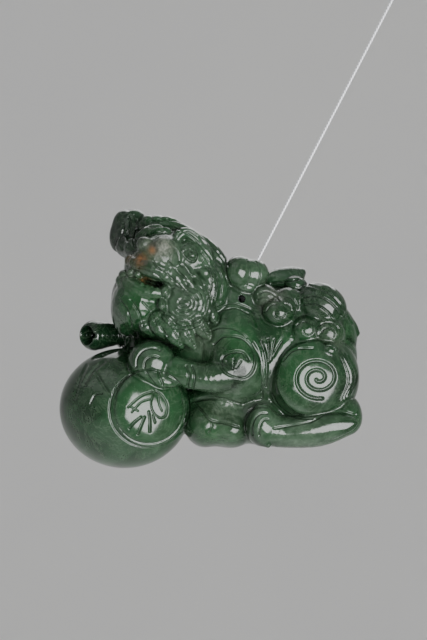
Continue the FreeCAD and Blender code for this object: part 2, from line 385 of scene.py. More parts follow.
REGIONS = {
    "bag_medallion": [Oval(-11.2, -8.55, 8.1, 7.5, 2.3, 7.5, 0, 21)],
    "bag_body": [Oval(-16.4, 0.0, 7.8, 13.1, 11.4, 12.0, soft=0.5)],
    "bag_collar": [
        Oval(-13.4, 3.0, 19.6, 3.0, 3.4, 3.4, soft=1.5),
        *[
            Oval(
                -14.2 - 1.25 * i, 3.0 + 0.35 * i, 21.9 + 0.12 * i,
                0.85, 2.9 - 0.12 * i, 2.9 - 0.12 * i, -8, 14, soft=0.25,
            )
            for i in range(4)
        ],
    ],
    "bag_mouth": [Tube((-17.6, 3.8, 22.3, 2.0), (-20.0, 3.4, 22.4, 2.5), (-22.6, 2.6, 22.3, 3.1), soft=0.4)],
    "torso": [
        Oval(14.0, 0.3, 18.6, 15.0, 8.4, 13.4, soft=1.4),
        Oval(24.5, 0, 17.5, 5.4, 6.5, 10.5, soft=2.0),
    ],
    "nape": [Oval(5.6, -0.4, 29.2, 6.6, 5.8, 5.0, soft=1.6)],
    "chest": [Oval(-0.8, 0.0, 21.0, 8.0, 7.4, 8.0, soft=1.4)],
    "belly": [
        Oval(3.0, 0.0, 7.4, 9.0, 6.6, 6.6, soft=1.0),
        Oval(-0.2, -2.4, 4.7, 4.4, 6.2, 4.6, 10, soft=1.2),
        Oval(4.6, -2.4, 4.1, 4.8, 6.6, 4.1, 6, soft=1.6),
        Oval(11.0, 0.0, 6.0, 8.0, 7.4, 5.6, soft=1.0),
    ],
    "left_shoulder": SHOULDER,
    "left_forearm": FOREARM,
    "left_fore_paw": FORE_PAW,
    "left_haunch": HAUNCH,
    "left_hind_foot": HIND_FOOT,
    "right_shoulder": far(*SHOULDER),
    "right_forearm": far(*FOREARM),
    "right_fore_paw": far(*FORE_PAW),
    "right_haunch": far(*HAUNCH),
    "right_hind_foot": far(*HIND_FOOT),
    "skull": [
        Oval(-7.6, -0.6, 35.4, 9.0, 8.6, 9.6, soft=1.0),
        Oval(-3.3, -5.4, 37.2, 5.0, 3.9, 4.8, 30, soft=0.9),
        Oval(-3.3, -8.5, 38.3, 2.5, 1.0, 1.8, 52, soft=0.1),
        Oval(-2.9, -9.3, 38.1, 0.8, 0.5, 0.7, soft=0.08),
        Tube(
            (-6.2, -8.4, 40.4, 0.9), (-5.4, -8.2, 42.0, 1.1), (-3.9, -7.8, 42.4, 1.1),
            (-2.3, -7.4, 41.5, 1.0), (-1.0, -7.0, 39.5, 0.7),
            soft=0.25,
        ),
        Oval(-5.6, -7.6, 41.8, 1.0, 1.1, 0.9, soft=0.2),
        Oval(-4.1, -7.6, 42.2, 1.1, 1.1, 0.9, soft=0.2),
        Oval(-2.5, -7.3, 41.5, 1.0, 1.1, 0.9, soft=0.2),
    ],
    "muzzle": [
        Oval(-9.2, -7.0, 37.9, 5.4, 4.6, 4.4, -20, soft=0.9),
        Oval(-8.5, -10.4, 39.6, 2.0, 1.9, 2.1, soft=0.5),
        Oval(-12.1, -9.0, 40.2, 1.7, 1.7, 1.5, soft=0.5),
        Oval(-10.5, -9.6, 39.0, 1.9, 1.5, 1.4),
        Oval(-6.4, -9.0, 37.9, 1.1, 1.3, 1.3, soft=0.2),
        Tube(
            (-14.9, -7.2, 37.0, 1.2), (-12.6, -9.2, 36.1, 1.8), (-9.9, -9.8, 35.3, 2.0),
            (-7.6, -9.2, 33.8, 1.5), (-6.0, -8.4, 31.6, 0.8),
            soft=0.35,
        ),
        Tube((-5.6, -8.6, 35.9, 1.0), (-4.5, -9.0, 34.0, 1.2), (-2.9, -9.2, 32.0, 0.8)),
        Tube((-7.0, -9.4, 35.5, 0.9), (-6.0, -9.6, 33.6, 1.1), (-4.1, -9.6, 31.2, 0.7)),
    ],
    "lower_jaw": [
        Oval(-13.2, -5.6, 28.7, 5.2, 4.6, 5.6, soft=0.9),
        Oval(-15.9, -3.0, 27.8, 3.2, 4.6, 5.6, soft=0.9),
        Tube(
            (-16.7, -5.8, 33.1, 1.3), (-15.0, -7.8, 32.6, 1.4), (-13.2, -9.2, 31.4, 1.3),
            (-10.7, -9.6, 30.7, 1.2), (-8.4, -9.0, 30.5, 0.9),
            soft=0.8,
        ),
        Tube((-8.1, -9.4, 32.0, 0.7), (-8.1, -9.9, 30.8, 0.9), (-7.9, -9.6, 29.9, 0.5), soft=0.15),
        Tube((-8.7, -9.4, 29.3, 0.6), (-8.7, -9.8, 28.3, 0.9), (-8.1, -9.6, 27.3, 0.5), soft=0.15),
        Oval(-16.3, -6.4, 34.2, 1.1, 1.2, 1.1, soft=0.15),
        Oval(-14.8, -7.8, 34.8, 1.0, 1.2, 1.0, soft=0.15),
        Oval(-13.4, -8.8, 34.4, 1.0, 1.2, 0.9, soft=0.15),
        *[
            Oval(x, -9.9 + 0.05 * i, z, 0.42, 0.5, 0.5, soft=0.1)
            for i, (x, z) in enumerate(
                [(-12.6, 32.2), (-11.6, 31.8), (-10.7, 31.6), (-9.7, 31.4), (-8.7, 31.4)]
            )
        ],
    ],
    "left_cheek": [
        Oval(-4.1, -6.8, 28.5, 5.9, 4.0, 5.6, soft=0.5),
        Oval(0.2, -4.2, 31.9, 4.4, 4.4, 6.6, soft=0.8),
        Tube(
            (-2.1, -7.4, 35.6, 1.3), (0.2, -7.6, 34.0, 1.4), (1.2, -7.4, 30.9, 1.2),
            (0.4, -7.6, 28.1, 0.8),
            soft=0.25,
        ),
    ],
    "right_mane": [
        Oval(-15.8, 4.0, 29.4, 3.6, 5.4, 5.6, soft=0.8),
        Oval(-13.3, 2.0, 37.1, 3.0, 5.4, 5.4, soft=0.8),
        Oval(-16.4, -0.6, 40.2, 1.9, 2.8, 2.2, soft=1.2),
        Oval(-14.5, -3.2, 39.7, 2.0, 2.6, 2.2, soft=1.2),
        Oval(-6.0, 5.6, 31.0, 7.0, 4.6, 7.2, soft=0.8),
        *far(
            Oval(-3.6, -7.6, 28.4, 4.0, 2.6, 4.0),
            Oval(-10.6, -7.8, 33.4, 3.8, 2.4, 3.8),
            Oval(-2.6, -6.8, 36.4, 3.6, 2.4, 3.6),
            Oval(-11.0, -6.6, 26.4, 3.4, 2.4, 3.4),
        ),
    ],
    "beard": [
        Oval(-6.4, -3.6, 24.6, 8.4, 5.0, 4.0, soft=0.8),
        Tube((-12.7, -7.2, 26.2, 1.8), (-11.9, -7.8, 24.2, 1.4), (-10.5, -7.8, 22.7, 0.6), soft=0.2),
        Tube((-10.1, -8.0, 25.8, 2.0), (-9.1, -8.8, 23.6, 1.5), (-7.6, -8.6, 21.9, 0.6), soft=0.2),
        Tube((-7.6, -8.4, 25.0, 2.1), (-6.6, -9.2, 22.5, 1.6), (-5.0, -8.8, 20.3, 0.6), soft=0.2),
        Tube((-4.9, -8.4, 24.8, 2.1), (-3.9, -9.2, 22.3, 1.6), (-2.5, -8.6, 20.1, 0.6), soft=0.2),
        Tube((-2.3, -8.0, 26.2, 2.0), (-1.1, -8.8, 23.8, 1.6), (0.2, -8.4, 22.1, 0.6), soft=0.2),
        Tube((-0.4, -7.0, 28.7, 1.7), (0.8, -7.8, 26.6, 1.4), (1.8, -7.6, 24.8, 0.6), soft=0.2),
    ],
    "crest": [
        Tube(
            (-12.1, -1.6, 44.1, 1.8), (-8.7, -2.6, 43.9, 2.2), (-5.3, -3.4, 42.4, 2.4),
            (-2.2, -3.8, 40.4, 2.4), (0.8, -4.0, 38.1, 2.3), (3.4, -4.0, 35.3, 1.7),
            soft=0.5,
        ),
        Oval(-11.7, -2.2, 45.1, 1.4, 1.6, 1.2, soft=0.2),
        Oval(-9.9, -2.8, 45.2, 1.3, 1.6, 1.1, soft=0.2),
        Oval(-8.1, -3.2, 45.0, 1.3, 1.6, 1.1, soft=0.2),
        Tube(
            (-13.2, -5.4, 41.7, 1.1), (-11.0, -6.2, 42.7, 1.4), (-8.6, -6.6, 42.5, 1.4),
            (-6.6, -6.8, 41.3, 0.9),
        ),
    ],
    "left_ear": [
        Oval(6.3, -4.9, 34.9, 3.0, 3.1, 3.2),
        Oval(9.3, -4.2, 34.5, 3.0, 2.6, 2.9, 20, soft=0.9),
        Oval(7.7, -4.2, 31.9, 2.6, 2.2, 1.6, soft=0.4),
    ],
    "right_ear": [
        Oval(-17.1, 2.4, 42.9, 2.5, 2.4, 4.0, 12, soft=0.9),
        Oval(-16.3, 1.8, 45.3, 2.4, 2.0, 2.3, soft=0.9),
        Oval(-14.6, 0.8, 45.6, 2.2, 2.0, 2.0, soft=0.6),
        Oval(-15.2, 0.6, 42.8, 3.0, 2.4, 3.6, soft=0.9),
    ],
    "tail": [
        Oval(22.4, -0.2, 24.6, 8.6, 6.4, 6.2, 42, soft=0.9),
        Tube((26.9, -1.0, 25.0, 2.0), (28.7, -1.0, 24.0, 1.3), (29.9, -1.0, 22.8, 0.6), soft=0.5),
        *[
            Tube(
                (20.5 + i * 1.5, -1.8 + i * 1.5, 30.6 - i * 1.2, 1.0),
                (24.5 + i, -2.0 + i * 1.6, 28.4 - i * 1.4, 1.3),
                (28.0 + i * 0.6, -1.8 + i * 1.4, 23.6 - i, 0.8),
            )
            for i in range(3)
        ],
    ],
    "tail_tip": [
        Tube(
            (11.4, 0.4, 32.0, 1.6), (13.8, 0.2, 33.2, 2.3), (16.6, 0.0, 33.6, 2.5),
            (18.8, 0.0, 34.8, 1.0),
        ),
        Oval(17.7, -1.6, 32.4, 2.5, 2.4, 1.8, 20),
        Tube((9.6, 3.4, 31.0, 1.4), (13.0, 4.0, 31.6, 2.0), (17.4, 3.6, 31.8, 1.5)),
    ],
    "tail_curls": [
        Oval(22.7, -4.2, 28.4, 5.2, 3.6, 4.2, 30, soft=0.8),
        Oval(19.5, -6.2, 23.2, 3.2, 2.6, 3.0, soft=0.8),
        Oval(23.8, -5.6, 22.8, 3.4, 2.8, 3.2, soft=0.8),
        Oval(23.7, -8.4, 19.3, 2.1, 1.7, 1.8, soft=0.4),
        Tube((22.0, -3.4, 30.9, 1.2), (25.1, -4.4, 29.4, 1.5), (26.7, -4.8, 26.4, 0.8), soft=0.25),
        *far(
            Oval(22.6, -4.8, 28.2, 4.6, 3.4, 4.0, 30, soft=0.35),
            Oval(19.0, -6.6, 23.6, 3.2, 2.6, 3.0),
            Oval(24.0, -6.0, 22.6, 3.4, 2.8, 3.2),
        ),
    ],
    "back_curl": [
        Oval(11.7, -4.0, 29.9, 3.2, 2.8, 2.5, 30, soft=0.9),
        Oval(14.0, -5.8, 26.8, 3.3, 2.8, 3.1),
        Oval(16.2, -4.0, 29.0, 3.1, 2.8, 2.9, 30, soft=0.9),
        *far(
            Oval(11.6, -4.6, 29.4, 3.2, 2.6, 2.7, 20),
            Oval(14.0, -5.8, 26.6, 3.2, 2.8, 3.0),
        ),
    ],
}

CARVED = [          # hollows: shape and softness
    Tube((-26.0, -0.6, 22.4, 2.3), (-23.0, 1.8, 22.3, 1.7), (-20.4, 3.2, 22.2, 0.9)),
    Oval(-11.1, -9.6, 32.8, 2.1, 5.2, 0.45, 15, soft=0.12),
    Oval(-9.7, -9.6, 32.4, 1.0, 5.2, 0.62, 8, soft=0.12),
]
KNOT = TOP - TUNNEL * np.array([math.sin(LEAN), 0, math.cos(LEAN)])
WINDOW = np.array([7.3, -9.0, 29.8])
INWARD = (KNOT - WINDOW) / np.linalg.norm(KNOT - WINDOW)
ABOVE = TOP + 6.0 * np.array([math.sin(LEAN), 0, math.cos(LEAN)])
BORES = [
    Tube((*KNOT, 0.45), (*ABOVE, 0.45), soft=0.05),
    Tube((*WINDOW, 0.75), (*(KNOT + INWARD), 0.75), soft=0.1),
]

NAMES = list(REGIONS)


def soft_min(a, b, k):
    """The smaller of two distances, blended over a width k."""
    h = np.maximum(k - np.abs(a - b), 0) / k
    return np.minimum(a, b) - h * h * k * 0.25


def within(p, shape, margin):
    """Which points are near a shape's box."""
    return np.flatnonzero(((p > shape.low - margin) & (p < shape.high + margin)).all(1))


MARGIN = 3.2                               # how near a shape must be to act on a point
HOLLOW_MARGIN = 1.0                        # the same for a hollow


def stone(p, scope, regions=False):
    """The whole stone's signed distance at points p, from the (region, shape) pairs in scope.

    With regions, each region's own distance as well.
    """
    whole = np.full(len(p), MARGIN, np.float32)
    own = np.full((len(NAMES), len(p)), MARGIN, np.float32) if regions else None
    for number, shape in scope:
        index = within(p, shape, MARGIN)
        if not len(index):
            continue
        d = shape.distance(p[index])
        whole[index] = soft_min(whole[index], d, shape.soft)
        if regions:
            own[number, index] = np.minimum(own[number, index], d)
    for shape in CARVED + BORES:
        index = within(p, shape, HOLLOW_MARGIN)
        if len(index):
            whole[index] = -soft_min(-whole[index], shape.distance(p[index]), shape.soft)
    return (whole, own) if regions else whole


# ---------------------------------------------------------------- engraving

def spiral(x, z, rx, rz, start, turns, inner=0.12):
    """A clockwise spiral running in to its centre, as x, z points."""
    out = []
    for t in np.linspace(0, 1, int(18 * turns)):
        a = math.radians(start - 360 * turns * t)
        r = 1 - (1 - inner) * t
        out.append((x + rx * r * math.cos(a), z + rz * r * math.sin(a)))
    return out


def arc(x, z, rx, rz, start, end):
    """Part of an oval from one angle to another, in degrees, as x, z points."""
    angles = np.radians(np.linspace(start, end, 14))
    return [(x + rx * math.cos(a), z + rz * math.sin(a)) for a in angles]


def smooth(points):
    """A finer polyline through x, z points."""
    if len(points) < 3:
        return np.array(points, np.float32)
    return spline([(x, z, 0, 0) for x, z in points], 4)[:, :2]


class Groove:
    """A line engraved in a flank: its path in x and z, its depth and half width, and where it acts in y."""

    def __init__(self, path, depth, wide, low=-16.0, high=-1.0):
        self.path = smooth(path)
        self.depth, self.wide, self.low, self.high = depth, wide, low, high

    def cut(self, flat, y, total):
        """Deepens total where this groove runs over the points, given as their x, z pairs and their y."""
        low, high = self.path.min(0) - self.wide, self.path.max(0) + self.wide
        index = np.flatnonzero(((flat > low) & (flat < high)).all(1) & (y > self.low) & (y < self.high))
        if not len(index):
            return
        q = flat[index]
        best = np.full(len(q), 9.0, np.float32)
        for a, b in zip(self.path[:-1], self.path[1:]):
            along = b - a
            t = np.clip((q - a) @ along / max(float(along @ along), 1e-9), 0, 1)
            gap = q - a - t[:, None] * along
            best = np.minimum(best, np.sqrt((gap * gap).sum(1)))
        depth = self.depth * np.clip(1 - (best / self.wide) ** 2, 0, 1) ** 1.5
        total[index] = np.maximum(total[index], depth)


# lines that run on one flank only
NEAR_GROOVES = [
    # medallion: a double rim, petals, a leaf and short deep cuts
    Groove(arc(-11.2, 8.1, 7.65, 7.65, 0, 180), 0.34, 0.3),
    Groove(arc(-11.2, 8.1, 7.65, 7.65, 180, 360), 0.34, 0.3),
    Groove(arc(-11.2, 8.1, 6.8, 6.8, -200, 20), 0.26, 0.26),
    Groove([(-10.6, 11.5), (-12.7, 10.7), (-15.2, 8.6)], 0.3, 0.26),
    Groove([(-11.0, 10.1), (-12.7, 9.5), (-14.5, 7.6)], 0.28, 0.24),
    Groove([(-14.9, 8.8), (-13.3, 7.8)], 0.24, 0.22),
    Groove([
        (-10.2, 11.3), (-10.8, 9.5), (-10.4, 7.6), (-9.1, 6.4), (-7.9, 6.8), (-7.7, 8.8), (-8.7, 10.7),
        (-10.0, 11.7),
    ], 0.3, 0.24),
    Groove([(-9.4, 10.7), (-9.2, 9.1), (-8.7, 7.8)], 0.24, 0.22),
    Groove([(-12.7, 6.6), (-13.9, 5.7), (-14.9, 4.5)], 0.42, 0.34),
    Groove([(-12.0, 6.6), (-12.7, 4.9), (-13.3, 3.3)], 0.42, 0.34),
    Groove([(-11.2, 7.6), (-11.0, 5.7), (-11.0, 3.7)], 0.42, 0.34),
    Groove([(-10.4, 6.8), (-10.0, 5.5)], 0.36, 0.3),
    # bag: folds below the knot
    Groove([(-22.7, 9.1), (-21.7, 10.9), (-20.4, 11.1)], 0.28, 0.3),
    Groove([(-21.9, 15.4), (-19.4, 11.7), (-18.4, 10.5)], 0.2, 0.5),
    # face
    Groove([
        (-4.8, 39.8), (-3.7, 40.4), (-2.5, 39.6), (-1.9, 37.9), (-2.7, 36.7), (-4.1, 37.5),
        (-4.8, 38.9), (-4.8, 39.8),
    ], 0.34, 0.26),
    Groove([(-4.1, 39.0), (-3.3, 39.0), (-2.7, 38.3)], 0.24, 0.2, high=-6),
    Groove([(-6.0, 41.0), (-5.1, 42.4), (-3.5, 42.8), (-1.7, 41.8)], 0.24, 0.22),
    Groove([(-8.0, 34.8), (-6.0, 32.6), (-4.1, 30.9)], 0.34, 0.28),
    Groove([(-7.4, 36.7), (-5.6, 34.8), (-4.1, 33.4)], 0.34, 0.28),
    Groove([(-5.4, 36.7), (-3.9, 35.0), (-2.1, 33.6)], 0.3, 0.26),
    Groove([(-2.7, 34.4), (-1.3, 33.0), (-0.4, 31.2)], 0.3, 0.26),
    Groove([(-1.1, 38.7), (0.4, 36.7), (1.2, 34.0)], 0.3, 0.28),
    Groove([(-10.3, 36.7), (-9.5, 35.5), (-7.6, 34.8)], 0.26, 0.26),
    Groove([(-13.4, 35.5), (-11.5, 35.0), (-9.5, 34.0), (-8.2, 32.6)], 0.2, 0.16),
    Groove([(-7.6, 39.0), (-7.0, 37.5), (-7.4, 36.3)], 0.2, 0.2),
    Groove([(-6.8, 39.8), (-5.6, 38.5), (-5.4, 37.1)], 0.2, 0.2),
    # hair of the far ear and brow
    Groove([(-18.5, 44.9), (-17.7, 42.8), (-18.3, 40.4)], 0.3, 0.3),
    Groove([(-17.3, 46.3), (-16.6, 44.1), (-17.2, 41.4), (-16.8, 39.4)], 0.3, 0.3),
    Groove([(-16.0, 46.7), (-15.2, 44.5), (-15.8, 41.8), (-15.4, 39.4)], 0.3, 0.3),
    Groove([(-14.5, 46.3), (-13.9, 44.1), (-14.5, 41.3), (-13.9, 38.9)], 0.3, 0.3),
    # cheek: a curl, then hair behind it
    Groove(arc(-4.4, 28.7, 1.0, 0.7, 0, 360), 0.22, 0.5),
    *[
        Groove(arc(-4.4, 28.7, r, 0.95 * r, -135 - 6 * i, 75 - 8 * i), 0.26, 0.15)
        for i, r in enumerate((1.9, 2.8, 3.7, 4.6, 5.4))
    ],
    Groove([(-7.2, 31.2), (-8.4, 29.3), (-8.0, 26.6), (-6.0, 24.6)], 0.26, 0.28),
    *[
        Groove([
            (-1.0 + 1.2 * i, 37.2 - 0.5 * i), (1.0 + 1.0 * i, 33.6), (0.4 + 1.1 * i, 29.8 - 0.4 * i),
        ], 0.28, 0.18)
        for i in range(3)
    ],
    # jaw and beard
    Groove([(-17.0, 29.3), (-15.4, 27.0), (-14.8, 24.2)], 0.26, 0.3),
    Groove([(-14.8, 29.3), (-13.3, 27.0), (-12.5, 24.2)], 0.26, 0.3),
    Groove([(-12.5, 28.9), (-10.9, 27.0), (-9.9, 24.6)], 0.24, 0.28),
    Groove([(-9.7, 25.6), (-8.6, 23.6), (-7.6, 22.1)], 0.24, 0.24),
    Groove([(-7.2, 24.8), (-6.0, 22.7), (-5.1, 20.7)], 0.24, 0.24),
    Groove([(-4.5, 24.6), (-3.5, 22.3), (-2.5, 20.5)], 0.24, 0.24),
    Groove([(-1.9, 26.0), (-0.8, 24.0), (0.2, 22.3)], 0.24, 0.24),
    # crest
    Groove([(7.9, 37.3), (8.5, 34.9), (7.9, 32.5)], 0.26, 0.22),
    Groove([(9.7, 36.9), (10.5, 34.9), (10.1, 32.5)], 0.2, 0.2),
    # locks of the mane on the far side
    *[
        Groove([
            (x, z), (x + 1.6, z - 2.4), (x + 1.2, z - 5.2), (x - 1.0, z - 7.2),
        ], 0.34, 0.36, low=0.5, high=16)
        for x, z in (
            (-14.0, 38.0), (-11.4, 39.6), (-8.6, 40.2), (-5.6, 40.0), (-2.8, 39.0), (-0.4, 37.0),
            (-15.2, 31.6), (-12.2, 32.0), (-9.2, 32.4), (-6.2, 32.2), (-3.4, 31.4),
        )
    ],
]

# lines that run alike on both flanks
TWIN_GROOVES = [
    # bag: folds below the knot
    Groove([(-23.7, 16.4), (-24.9, 13.6), (-25.9, 10.1)], 0.2, 0.5),
    Groove([(-20.2, 17.2), (-22.5, 15.2), (-24.1, 12.5)], 0.2, 0.5),
    # shoulder
    Groove([
        (1.4, 20.7), (2.4, 21.7), (3.7, 22.3), (6.8, 21.9), (8.8, 20.0), (9.4, 17.6), (8.8, 15.3),
        (7.2, 14.1), (5.3, 14.3), (3.3, 15.5), (2.8, 17.2), (3.5, 18.6), (5.3, 19.2), (7.0, 19.0),
        (8.0, 17.6),
    ], 0.34, 0.36),
    Groove([(3.9, 17.4), (4.7, 16.1)], 0.3, 0.26),
    Groove([(5.3, 17.8), (5.1, 15.9)], 0.3, 0.26),
    Groove([(6.6, 17.4), (5.7, 16.1)], 0.3, 0.26),
    Groove([(-0.2, 22.9), (2.8, 24.0), (5.9, 23.5), (7.8, 21.9)], 0.26, 0.3),
    Groove([(2.2, 27.9), (4.9, 28.7), (8.5, 27.6), (10.0, 25.8)], 0.26, 0.3),
    Groove([(3.0, 27.4), (5.7, 27.8), (8.3, 26.6)], 0.24, 0.26),
    # waist: a fan of folds
    Groove([(9.0, 20.9), (10.4, 18.0), (11.0, 14.1), (10.8, 10.1)], 0.42, 0.42),
    Groove([(10.6, 21.3), (11.4, 19.1), (11.8, 16.0), (11.6, 12.5)], 0.42, 0.38),
    Groove([(12.0, 21.5), (12.2, 19.5), (12.2, 17.2)], 0.4, 0.34),
    Groove([(13.3, 21.5), (12.9, 19.5), (12.5, 17.6)], 0.36, 0.32),
    Groove([(14.7, 21.3), (13.7, 19.7), (12.9, 18.2)], 0.32, 0.3),
    # forearm and paw
    Groove(arc(-10.6, 16.9, 3.1, 3.1, 60, 190), 0.34, 0.32),
    Groove(arc(-10.2, 16.5, 1.9, 1.9, 60, 190), 0.28, 0.28),
    Groove([(-9.4, 15.5), (-9.0, 14.2), (-8.5, 12.8)], 0.4, 0.32),
    Groove([(-11.7, 15.3), (-11.0, 14.0), (-10.2, 13.0)], 0.3, 0.28),
    Groove([(-4.0, 16.5), (-3.4, 14.8), (-3.8, 12.6)], 0.34, 0.32),
    Groove([(-2.9, 16.5), (-2.3, 14.6), (-2.7, 12.2)], 0.34, 0.32),
    # haunch
    Groove(spiral(21.6, 14.2, 4.75, 4.15, -80, 2.15), 0.42, 0.44),
    Groove([(14.8, 17.6), (16.2, 19.2), (18.0, 19.9), (20.7, 19.9)], 0.3, 0.32),
    Groove([(12.7, 10.8), (14.3, 8.2), (17.2, 6.5), (20.5, 6.3)], 0.24, 0.3),
    *[
        Groove([
            (25.4 + 0.75 * i, 19.8 - 0.5 * i), (27.4 + 0.7 * i, 14.2), (26.0 + 0.6 * i, 9.8 + 0.3 * i),
        ], 0.26, 0.3)
        for i in range(4)
    ],
    # hind foot: folds over the toes and a ridge along the sole
    Groove(arc(10.7, 4.6, 3.4, 4.0, 75, 200), 0.3, 0.28),
    Groove(arc(11.1, 4.2, 2.4, 3.2, 75, 200), 0.3, 0.28),
    Groove(arc(11.5, 3.8, 1.4, 2.4, 75, 200), 0.28, 0.26),
    Groove([(13.1, 4.4), (16.8, 5.0), (20.4, 5.8), (23.2, 7.3), (26.3, 7.5), (29.0, 6.9)], 0.26, 0.34),
    # belly: two lobes with a stippled hollow over them
    Groove([(0.8, 5.8), (1.0, 4.7), (0.4, 3.5)], 0.26, 0.26),
    Groove([(-2.9, 9.4), (-0.2, 10.0), (3.0, 9.8), (6.5, 8.8)], 0.4, 0.5),
    Groove([(-2.5, 9.0), (-0.9, 7.6), (0.8, 5.8), (3.4, 5.3), (6.1, 4.5)], 0.34, 0.34),
    # crest
    Groove([(-10.8, 44.9), (-6.1, 45.1), (-1.4, 42.6), (2.4, 38.4), (4.2, 36.0)], 0.3, 0.32),
    Groove([(-11.2, 43.7), (-6.9, 43.7), (-2.9, 41.6), (0.2, 38.4), (1.8, 36.0)], 0.26, 0.3),
    # back and tail
    Groove(spiral(13.9, 26.8, 2.3, 2.1, 170, 1.1, 0.2), 0.26, 0.2),
    Groove([(10.1, 30.5), (11.6, 31.1), (13.2, 30.5), (14.2, 29.1)], 0.26, 0.22),
    Groove([(9.9, 29.3), (11.2, 29.9), (12.6, 29.3)], 0.24, 0.2),
    Groove([(14.8, 30.1), (16.3, 29.9), (17.5, 28.7), (17.7, 27.2)], 0.26, 0.22),
    Groove([(15.2, 28.7), (16.3, 28.3), (16.7, 27.2)], 0.24, 0.2),
    Groove(spiral(19.4, 23.4, 2.2, 2.0, 150, 0.9, 0.25), 0.26, 0.18),
    Groove(arc(23.7, 22.9, 2.3, 2.1, 20, 220), 0.26, 0.2),
    Groove(arc(23.7, 22.7, 1.3, 1.2, -30, 170), 0.24, 0.18),
    Groove(arc(23.7, 19.3, 1.3, 1.2, 10, 200), 0.24, 0.18),
    Groove([(18.9, 29.9), (21.8, 30.1), (24.6, 28.5), (26.4, 26.2)], 0.3, 0.3),
    Groove([(18.3, 28.3), (21.1, 28.5), (23.4, 27.2), (25.0, 25.4)], 0.28, 0.28),
    Groove([(19.6, 32.5), (23.6, 31.0), (26.8, 27.8), (28.8, 24.6)], 0.28, 0.3),
    Groove([(12.9, 32.7), (15.7, 33.1), (18.1, 33.5)], 0.3, 0.3),
]


def engraved(p):
    """Depth of the engraving at points on the surface."""
    total = np.zeros(len(p), np.float32)
    flat, y = p[:, [0, 2]], p[:, 1]
    for groove in NEAR_GROOVES:
        groove.cut(flat, y, total)
    for groove in TWIN_GROOVES:
        groove.cut(flat, -np.abs(y), total)
    return total


# how deep the outline is cut where each region meets its neighbours
OUTLINE = dict.fromkeys(NAMES, 0.16)
OUTLINE.update(
    torso=0.0, chest=0.0, nape=0.05, belly=0.1, skull=0.1, muzzle=0.18, beard=0.2, left_cheek=0.24,
    left_ear=0.28, left_fore_paw=0.24, left_haunch=0.24, right_haunch=0.24, bag_medallion=0.2,
    back_curl=0.16, tail_curls=0.16, tail_tip=0.2,
)
EDGE = np.array([OUTLINE[name] for name in NAMES], np.float32)

